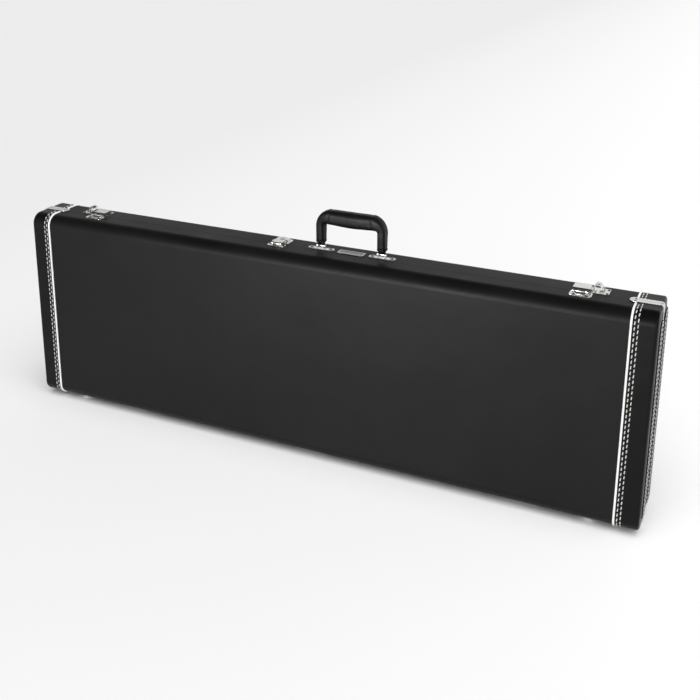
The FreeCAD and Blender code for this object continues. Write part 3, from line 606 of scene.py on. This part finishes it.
def make_handle():
    """The leather-wrapped grip with a sewn seam under its arch, collars and nickel loops on the pins."""
    low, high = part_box("handle_grip")
    pins = [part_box(f"handle_pin_{word}") for word, _ in SIDES]
    pin_x = [(a.x + b.x) / 2 for a, b in pins]
    pin_z = (pins[0][0].z + pins[0][1].z) / 2
    y = (low.y + high.y) / 2
    middle, reach = sum(pin_x) / 2, (pin_x[1] - pin_x[0]) / 2
    foot, crown = pin_z + 1.4 * MM, high.z
    leg_thick, outer, inner = 15.4 * MM, 24 * MM, 4 * MM  # outer and inner are the bend's radii
    under = crown - 26.2 * MM
    bend_foot = min(crown - outer, under - inner)
    leg, bend, top = bend_foot - foot, 34 * MM, reach - leg_thick / 2 - inner
    half = leg + bend + top
    # distance from the foot: depth, thickness of the leg, squareness
    shape = ((0.0, 10.6 * MM, 10.8 * MM, 0.7), (3.2 * MM, 11.4 * MM, 11.2 * MM, 0.66),
             (5.2 * MM, 13.0 * MM, 14.8 * MM, 0.6), (12.0 * MM, 19.0 * MM, leg_thick, 0.52),
             (leg, 21 * MM, leg_thick, 0.52), (leg + bend, 24.4 * MM, leg_thick, 0.62),
             (half, 25.4 * MM, leg_thick, 0.68))

    def station(s):
        """Middle, heading, outward way, depth, thickness and squareness at s from the left foot."""
        side = -1 if s < half else 1
        d = min(s, 2 * half - s)
        deep, leg_wide, power = smooth_between(shape, d)
        if d < leg:
            outside = Vector((reach + leg_wide / 2, foot + d))
            inside = Vector((reach - leg_wide / 2, foot + d))
        elif d < leg + bend:
            share = (d - leg) / bend
            turn = math.pi / 2 * (1 - share)
            middle_out = Vector((reach + leg_thick / 2 - outer, crown - outer))
            middle_in = Vector((reach - leg_thick / 2 - inner, under - inner))
            outside = middle_out + Vector((math.sin(turn), math.cos(turn))) * outer
            inside = middle_in + Vector((math.sin(turn), math.cos(turn))) * inner
            outside.y = min(outside.y, crown) - (crown - outer - bend_foot) * (1 - share)
            inside.y -= (under - inner - bend_foot) * (1 - share)
        else:
            share = (d - leg - bend) / top
            sag = 1.9 * MM * math.sin(math.pi / 2 * share) ** 2  # the palm side bulges down
            outside = Vector(((reach + leg_thick / 2 - outer) * (1 - share), crown))
            inside = Vector(((reach - leg_thick / 2 - inner) * (1 - share), under - sag))
        across = (outside - inside).normalized()
        spot = (outside + inside) / 2
        heading = Vector((across.y, 0, -side * across.x))
        outward = Vector((0, 1, 0)).cross(heading) * -1
        place = Vector((middle + side * spot.x, y, spot.y))
        return place, heading, outward, deep, (outside - inside).length, power

    rows, columns = 210, 64
    verts = []
    for r in range(rows + 1):
        s = 2 * half * r / rows
        centre, _, outward, deep, thick, power = station(s)
        d = min(s, 2 * half - s)
        bent = bell(d, leg + bend / 2, 9 * MM)
        creases = 0.5 + 0.5 * math.cos(2 * math.pi * s / (3.1 * MM))
        wrap_edge = 0.6 * MM * bell(d, leg + bend + 5 * MM, 1.3 * MM)
        for turn in circle(columns):
            out, deep_way = squared(math.sin(turn), power), squared(math.cos(turn), power)
            under_share = max(0.0, -math.sin(turn))
            across = deep_way * deep / 2
            point = centre + Vector((0, across, 0)) + outward * (out * thick / 2)
            normal = Vector((0, math.cos(turn) * thick, 0)) + outward * math.sin(turn) * deep
            height = 0.16 * MM * noise.noise(point * 95) + 0.10 * MM * noise.noise(point * 260)
            if out < 0:
                ridges = 0.45 * MM * bell(abs(across), 1.7 * MM, 0.9 * MM)
                height += ridges - 0.7 * MM * bell(across, 0, 0.6 * MM)
            height -= wrap_edge
            height -= 0.55 * MM * bent * under_share * creases
            verts.append(point + normal.normalized() * height)
    faces = grid_faces(rows + 1, columns, wrap=True) + end_caps(rows + 1, columns)
    grip = make_piece("handle_leather_grip", verts, faces, "handle", "handle_leather")
    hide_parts("handle_grip")

    verts, faces = [], []
    margin, pitch = 8 * MM, 5.0 * MM
    sewn = 2 * half - 2 * margin
    count = int(sewn / pitch)
    for i in range(count):
        centre, heading, outward, _, thick, _ = station(margin + (i + 0.5) * sewn / count)
        for way in (-1, 1):
            spot = centre + Vector((0, way * 3.4 * MM, 0)) - outward * (thick / 2 + 0.05 * MM)
            add_stitch(verts, faces, spot, heading, -outward, 3.4 * MM, 1.1 * MM, 0.8 * MM)
    make_piece("handle_seam_stitches", verts, faces, "handle", "handle_leather", "black_thread")

    for (word, _), x in zip(SIDES, pin_x):
        collar(f"handle_collar_{word}", x, y, foot + 8.2 * MM)
        make_loop(f"handle_loop_{word}", x, y, pin_z, foot)


def collar(name, x, y, z):
    """A narrow leather band round a leg of the handle, clear of the bracket when the handle is down."""
    sides, wide, deep, power = 40, 7.6 * MM, 7.75 * MM, 0.62
    # height along the leg and distance out from it, in mm
    band = ((-1.9, -0.2), (-1.7, 0.75), (-0.9, 1.1), (0.0, 1.15), (0.9, 1.1), (1.7, 0.75), (1.9, -0.2))
    verts = []
    for rise, out in band:
        for turn in circle(sides):
            verts.append((x + squared(math.cos(turn), power) * (wide + out * MM),
                          y + squared(math.sin(turn), power) * (deep + out * MM), z + rise * MM))
    make_piece(name, verts, grid_faces(len(band), sides, wrap=True), "handle", "handle_leather")


def bracket_cover(side_word):
    """The pressed top of a handle bracket's plate: a raised rim round a dished middle, and beads."""
    low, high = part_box(f"handle_bracket_{side_word}")
    base = TOP + 1.2 * MM  # the top of the plate
    corners = (Vector((0, low.x, low.y)), Vector((0, high.x, high.y)))
    # distance in from the plate's edge and height above it, in mm
    profile = ((0.25, -0.3), (0.25, 0.15), (0.6, 0.42), (1.1, 0.5), (1.7, 0.42), (2.3, 0.16),
               (2.9, 0.06), (3.8, 0.02))
    verts = []
    for inset, rise in profile:
        for x, y in stadium(*corners, 6 * MM, inset * MM):
            verts.append((x, y, base + rise * MM))
    columns = len(verts) // len(profile)
    faces = grid_faces(len(profile), columns, wrap=True) + end_caps(len(profile), columns)[1:]
    make_piece(f"handle_plate_rim_{side_word}", verts, faces, "body", "nickel")

    verts, faces = [], []
    steps, sides, radius, thick = 36, 10, 4.1 * MM, 0.55 * MM
    y = (low.y + high.y) / 2
    for x in (low.x + 6 * MM, high.x - 6 * MM):
        faces += grid_faces(steps, sides, len(verts), wrap=True, closed=True)
        for turn in circle(steps):
            for bead in circle(sides):
                reach = radius + thick * math.cos(bead)
                verts.append((x + reach * math.cos(turn), y + reach * math.sin(turn),
                              base + 0.1 * MM + thick * math.sin(bead)))
    make_piece(f"handle_plate_beads_{side_word}", verts, faces, "body", "nickel")


def nameplate_field():
    """The embossed dark field inside the blank nameplate's border."""
    low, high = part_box("nameplate")
    inset, level, knurl = 2.9 * MM, low.z + 1.05 * MM, 0.62 * MM
    across, down = 120, 28
    verts = []
    for r in range(down + 1):
        for c in range(across + 1):
            a, b = c / across, r / down
            x = low.x + inset + (high.x - low.x - 2 * inset) * a
            y = low.y + inset + (high.y - low.y - 2 * inset) * b
            rise = 0.22 * MM * math.sin(x / knurl) * math.sin(y / knurl)
            rise += 0.12 * MM * noise.noise(Vector((x, y, 0)) * 900)
            verts.append((x, y, level + rise))
    faces = grid_faces(down + 1, across + 1)
    make_piece("nameplate_field", verts, faces, "body", "brushed_plate", "dark_field")


def make_loop(name, x, y, pin_z, foot):
    """The nickel eye on a handle pin: a sleeve and a tang that goes up into the leg."""
    built = bmesh.new()
    turned = Matrix.Translation((x, y, pin_z)) @ Matrix.Rotation(math.pi / 2, 4, "Y")
    bmesh.ops.create_cone(built, cap_ends=True, segments=32, radius1=3.5 * MM, radius2=3.5 * MM,
                          depth=11.4 * MM, matrix=turned)
    tall = foot + 3 * MM - pin_z
    tang = Matrix.Diagonal((8.6 * MM, 6.6 * MM, tall, 1.0))
    bmesh.ops.create_cube(built, size=1.0, matrix=Matrix.Translation((x, y, pin_z + tall / 2)) @ tang)
    obj = finish_piece(name, bpy.data.meshes.new(name), built, "handle", "nickel")
    soften(obj, 0.5 * MM)


# ---- padded inside ------------------------------------------------------------------------------
def inflate(obj, pinned, pressure, cap):
    """Swells a closed mesh with cloth under air pressure, then keeps its shape as a plain mesh."""
    frames = 20
    mesh = obj.data
    before = [v.co.copy() for v in mesh.vertices]
    group = obj.vertex_groups.new(name="sewn")
    group.add(pinned, 1.0, "REPLACE")
    cloth = obj.modifiers.new("cloth", "CLOTH")
    plush = cloth.settings
    plush.quality = 4
    plush.mass = 0.3
    plush.tension_stiffness = plush.compression_stiffness = 12
    plush.shear_stiffness = 6
    plush.bending_stiffness = 0.6
    plush.use_pressure = True
    plush.uniform_pressure_force = pressure
    plush.effector_weights.gravity = 0.0
    plush.vertex_group_mass = group.name
    cloth.collision_settings.use_collision = False
    cloth.point_cache.frame_start = 1
    cloth.point_cache.frame_end = frames
    scene = bpy.context.scene
    scene.frame_start, scene.frame_end = 1, frames
    for frame_number in range(1, frames + 1):
        scene.frame_set(frame_number)
    shown = obj.evaluated_get(bpy.context.evaluated_depsgraph_get())
    after = [v.co.copy() for v in shown.data.vertices]
    obj.modifiers.remove(cloth)
    obj.vertex_groups.remove(group)
    for vertex, old, new in zip(mesh.vertices, before, after):
        move = new - old
        if move.length > cap:
            move *= cap / move.length
        vertex.co = old + move
    scene.frame_set(1)


def subdivide(obj):
    """Smooths a padded piece by one level of subdivision."""
    smooth = obj.modifiers.new("smooth", "SUBSURF")
    smooth.levels = smooth.render_levels = 1


def pad_mesh(name, x0, x1, z0, z1, y_front, y_back, corner, across, down, body, seams):
    """A closed cushion form that faces along Y; returns it with its sewn-down vertices."""
    def shaped(a, b):
        """Moves a point of a square grid onto a rectangle with round corners."""
        x, z = x0 + (x1 - x0) * a, z0 + (z1 - z0) * b
        cx = min(max(x, x0 + corner), x1 - corner)
        cz = min(max(z, z0 + corner), z1 - corner)
        dx, dz = x - cx, z - cz
        big, small = max(abs(dx), abs(dz)), min(abs(dx), abs(dz))
        if big > 0 and small > 0:
            scale = big / math.hypot(dx, dz)
            dx, dz = dx * scale, dz * scale
        return cx + dx, cz + dz

    way = 1 if y_front > y_back else -1
    seam_depth, seam_width = 3.5 * MM, 5 * MM
    verts, pinned = [], []
    for level in (y_front, y_back):
        for r in range(down + 1):
            for c in range(across + 1):
                a, b = c / across, r / down
                x, z = shaped(a, b)
                sink = 0.0
                if level == y_back:
                    pinned.append(len(verts))
                else:
                    near = min(a * (x1 - x0), (1 - a) * (x1 - x0), b * (z1 - z0), (1 - b) * (z1 - z0))
                    sink = rounding(near, PAD_EDGE)
                    for seam in seams:
                        sink = max(sink, seam_depth * bell(x, seam, seam_width))
                        if abs(x - seam) < (x1 - x0) / across * 0.6:
                            pinned.append(len(verts))
                verts.append((x, level - way * sink, z))
    row, per_layer = across + 1, (across + 1) * (down + 1)
    faces = grid_faces(down + 1, row) + grid_faces(down + 1, row, per_layer)
    rim = list(range(across)) + [across + r * row for r in range(down)]
    rim += [down * row + c for c in range(across, 0, -1)] + [r * row for r in range(down, 0, -1)]
    for a, b in zip(rim, rim[1:] + rim[:1]):
        faces.append((a, b, b + per_layer, a + per_layer))
    obj = make_piece(name, verts, faces, body, "plush")
    return obj, sorted(set(pinned))


def cushion(name, node, body, face_way, corner, across, down, pressure, seams=(), cap=4 * MM, part=None):
    """A padded block in the place of a CAD block, or of one part of it, swollen by cloth simulation."""
    low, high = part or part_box(node)
    shrink, sunk = 0.6 * MM, 1.6 * MM  # it starts smaller than its block, to swell into it
    front, back = (high.y, low.y) if face_way > 0 else (low.y, high.y)
    front -= face_way * sunk
    obj, pinned = pad_mesh(name, low.x + shrink, high.x - shrink, low.z + shrink, high.z - shrink,
                           front, back, corner, across, down, body, seams)
    inflate(obj, pinned, pressure, cap)
    subdivide(obj)
    if node:
        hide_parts(node)


def solids_of(node):
    """Boxes of the separate solids of a CAD node, in order of X and then Z."""
    built = bmesh.new()
    built.from_mesh(NODES[node].data)
    bmesh.ops.remove_doubles(built, verts=built.verts, dist=0.01 * MM)
    boxes, seen = [], set()
    for start in built.verts:
        if start in seen:
            continue
        island, heap = [], [start]
        seen.add(start)
        while heap:
            vertex = heap.pop()
            island.append(vertex.co)
            for edge in vertex.link_edges:
                other = edge.other_vert(vertex)
                if other not in seen:
                    seen.add(other)
                    heap.append(other)
        low = Vector([min(co[i] for co in island) for i in range(3)])
        high = Vector([max(co[i] for co in island) for i in range(3)])
        boxes.append((low, high))
    built.free()
    return sorted(boxes, key=lambda pair: (round(pair[0].x, 3), pair[0].z))


def loaf(name, profile, x0, x1, body, puff, edge=PAD_EDGE, columns=22):
    """Padding that follows a profile of (y, z) points, with rounded long edges and a swollen back."""
    lengths = lengths_along(profile)
    rows = max(24, int(lengths[-1] / PAD_GRID))
    fade, flare = 12 * MM, 1.25  # the top ends at 1 / flare of the half width
    verts = []
    segment = 0
    for r in range(rows + 1):
        at = lengths[-1] * r / rows
        while segment < len(lengths) - 2 and lengths[segment + 1] < at:
            segment += 1
        a, b = Vector(profile[segment]), Vector(profile[segment + 1])
        spot = a.lerp(b, (at - lengths[segment]) / max(lengths[segment + 1] - lengths[segment], 1e-9))
        before = Vector(profile[max(segment - 1, 0)])
        after = Vector(profile[min(segment + 2, len(profile) - 1)])
        along = (after - before).normalized()
        normal = Vector((-along.y, along.x))
        ends = min(1.0, at / fade, (lengths[-1] - at) / fade)
        for c in range(columns + 1):
            u = 2 * c / columns - 1
            share = min(1.0, abs(u) * flare)
            x = (x0 + x1) / 2 + (x1 - x0) / 2 * math.copysign(share, u)
            over = max(0.0, abs(u) * flare - 1) / (flare - 1)
            sink = rounding(min(x - x0, x1 - x), edge) + over * edge
            swell = puff * math.cos(math.pi / 2 * share) ** 0.6 * ends
            ripple = 0.5 * MM * noise.noise(Vector((x * 45, spot.x * 45, spot.y * 45)))
            point = spot + normal * (swell + ripple - sink - puff)
            verts.append((x, point.x, point.y))
    faces = grid_faces(rows + 1, columns + 1)
    wall = [r * (columns + 1) for r in range(rows + 1)]
    faces.append(tuple(wall))
    faces.append(tuple(w + columns for w in reversed(wall)))
    faces.append((*range(columns, -1, -1), *range(wall[-1], wall[-1] + columns + 1)))
    obj = make_piece(name, verts, faces, body, "plush")
    subdivide(obj)
    return obj


def neck_cradle():
    """The padded block with a rounded notch for the neck."""
    low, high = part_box("neck_cradle")
    middle, half_notch, floor, corner = (low.z + high.z) / 2, 36 * MM, 32 * MM, 14 * MM
    profile = [(high.y, low.z), (low.y + 6 * MM, low.z), (low.y, low.z + 6 * MM)]
    profile += [(low.y, middle - half_notch - 5 * MM), (low.y + 3 * MM, middle - half_notch)]
    for i in range(9):
        turn = math.pi / 2 * i / 8
        y = floor - corner + corner * math.sin(turn)
        profile.append((y, middle - half_notch + corner * (1 - math.cos(turn))))
    mirrored = [(py, 2 * middle - pz) for py, pz in reversed(profile)]
    obj = loaf("neck_cradle_pad", profile + mirrored, low.x, high.x, "body", 1.2 * MM)
    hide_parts("neck_cradle")


def compartment():
    """Padded walls of the accessory box, and its plush flap."""
    low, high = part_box("accessory_box")
    wall = 6 * MM
    profile = [(high.y, low.z), (low.y + 2 * MM, low.z), (low.y, low.z + 3 * MM),
               (low.y, high.z - 3 * MM), (low.y + 2 * MM, high.z), (high.y, high.z)]
    for word, x0, x1 in (("left", low.x, low.x + wall), ("right", high.x - wall, high.x)):
        side = loaf(f"compartment_{word}_wall", profile, x0, x1, "body", 0.3 * MM, 2.4 * MM, 12)
        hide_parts("accessory_box")
    for word, z0, z1 in (("front", high.z - wall, high.z), ("lower", low.z, low.z + wall)):
        part = Vector((low.x + wall, low.y, z0)), Vector((high.x - wall, high.y, z1))
        cushion(f"compartment_{word}_wall", None, "body", -1, 2 * MM, 90, 8, 0.5, cap=0.8 * MM, part=part)
    cushion("compartment_flap_pad", "accessory_flap", "accessory_flap", -1, 5 * MM, 90, 26, 1.2, cap=1.0 * MM)


def make_inside():
    """Cushion in the lid, bolsters, neck cradle and the compartment with its flap."""
    cushion("lid_plush_cushion", "lid_cushion", "lid", 1, 25 * MM, 112, 34, 3.0, seams=LID_CUSHION_SEAMS)
    for number, (low, high) in enumerate(solids_of("body_bolsters"), 1):
        across, down = (int((high[i] - low[i]) / PAD_GRID) for i in (0, 2))
        cushion(f"bolster_pad_{number}", None, "body", -1, 20 * MM, across, down, 3.0, cap=3 * MM,
                part=(low, high))
    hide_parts("body_bolsters")
    neck_cradle()
    compartment()


# ---- finish of the CAD nodes that stay ----------------------------------------------------------
def dress_frame():
    """Every remaining CAD node gets its slot's material; metal also gets softened edges."""
    slots = {p["node"]: p["material_slot"] for p in frame["record"]["subparts"]}
    soft_edges = {"nickel": 0.25 * MM, "steel": 0.15 * MM, "lock_brass": 0.15 * MM, "brushed_plate": 0.2 * MM}
    for name, obj in NODES.items():
        slot = slots[name]
        if not obj.material_slots:
            obj.data.materials.append(MATERIALS[slot])
        for holder in obj.material_slots:
            holder.material = MATERIALS[slot]
        if slot in soft_edges:
            weld = obj.modifiers.new("weld", "WELD")
            weld.merge_threshold = 0.002 * MM
            soften(obj, soft_edges[slot])


# ---- stage, light and camera --------------------------------------------------------------------
def make_floor():
    """A pale floor whose colour darkens towards the left: painted shade of light falling off to the left."""
    size = 30.0
    mesh = bpy.data.meshes.new("floor")
    corners = [(-size, -size, 0), (size, -size, 0), (size, size, 0), (-size, size, 0)]
    mesh.from_pydata(corners, [], [(0, 1, 2, 3)])
    floor = show("floor", mesh)
    s = Shader("floor", Specular_IOR_Level=0.0)
    across = s.node("SeparateXYZ", Vector=s.place).outputs["X"]
    # darker at the left, lighter at the right: this ramp is painted shade of the light falling off leftwards
    tone = s.ramp(s.spread(across, -1.6, 0.8), (0.0, (0.77,) * 3), (1.0, (0.96,) * 3))
    mesh.materials.append(s.finish(Base_Color=tone, Roughness=s.spread(s.noise(3.0), 0.2, 0.8, 0.6, 0.75)))


def make_sky():
    """A soft sky: bright up to about 29 degrees, dark overhead, and dimmer far to the left."""
    world = bpy.data.worlds.new("studio")
    bpy.context.scene.world = world
    world.use_nodes = True
    tree = world.node_tree
    background = tree.nodes["Background"]
    split = tree.nodes.new("ShaderNodeSeparateXYZ")
    tree.links.new(tree.nodes.new("ShaderNodeTexCoord").outputs["Generated"], split.inputs[0])
    ramp = tree.nodes.new("ShaderNodeValToRGB")
    tree.links.new(split.outputs["Z"], ramp.inputs["Fac"])
    stops = ((0.0, 0.95), (0.48, 0.95), (0.61, 0.06), (1.0, 0.04))
    while len(ramp.color_ramp.elements) < len(stops):
        ramp.color_ramp.elements.new(0.5)
    for element, (position, value) in zip(ramp.color_ramp.elements, stops):
        element.position = position
        element.color = (value, value, value, 1.0)
    tree.links.new(ramp.outputs["Color"], background.inputs["Color"])
    dim = tree.nodes.new("ShaderNodeMapRange")
    tree.links.new(split.outputs["X"], dim.inputs["Value"])
    for socket, value in (("From Min", -0.85), ("From Max", -0.25), ("To Min", 0.55), ("To Max", 1.0)):
        dim.inputs[socket].default_value = value
    tree.links.new(dim.outputs["Result"], background.inputs["Strength"])


def make_lights():
    """A broad soft sun overhead, and a low softbox in front that shows only as gloss."""
    sun = bpy.data.lights.new("overhead", "SUN")
    sun.energy = 2.85
    sun.angle = math.radians(65)
    lamp = show("overhead", sun)
    lamp.rotation_euler = (math.radians(22), math.radians(14), 0)
    lamp.visible_glossy = False

    box = bpy.data.lights.new("front_softbox", "AREA")
    box.shape = "RECTANGLE"
    box.size, box.size_y = 1.0, 0.36  # low enough for the case's top not to mirror it
    box.energy = 46.0
    lamp = show("front_softbox", box)
    lamp.location = (-0.42, -2.10, 0.20)
    aim = Vector((0.0, 0.0, 0.22)) - lamp.location
    lamp.rotation_euler = aim.to_track_quat("-Z", "Y").to_euler()
    lamp.visible_diffuse = False


def make_camera():
    """The camera in front of the case, above it and to its right, with the photograph's framing."""
    place, angles = (0.7478, -1.5433, 0.9969), (-23.90, -16.00, 0.45)
    yaw, pitch, roll = (math.radians(a) for a in angles)
    forward = Vector((math.sin(yaw) * math.cos(pitch), math.cos(yaw) * math.cos(pitch), math.sin(pitch)))
    level = Vector((math.cos(yaw), -math.sin(yaw), 0.0))
    upright = level.cross(forward)
    right = level * math.cos(roll) + upright * math.sin(roll)
    up = upright * math.cos(roll) - level * math.sin(roll)
    data = bpy.data.cameras.new("camera")
    data.sensor_width = 36.0
    data.lens = 51.88
    data.shift_y = -0.2286
    data.clip_end = 200.0
    camera = show("camera", data)
    turn = Matrix((right, up, -forward)).transposed().to_4x4()
    camera.matrix_world = Matrix.Translation(place) @ turn
    bpy.context.scene.camera = camera


def at_each_end(*makers):
    """Makes pieces for both ends of both halves."""
    for half in HALVES:
        for side_word, side in SIDES:
            for make in makers:
                make(half, side_word, side)


def main():
    bpy.context.scene.view_settings.view_transform = "Standard"
    make_camera()
    make_floor()
    make_sky()
    make_lights()
    dress_frame()
    at_each_end(leather_end, cord_of_piping, edge_stitches)
    at_each_end(bumper)
    make_handle()
    for side_word, _ in SIDES:
        bracket_cover(side_word)
    nameplate_field()
    make_inside()


main()
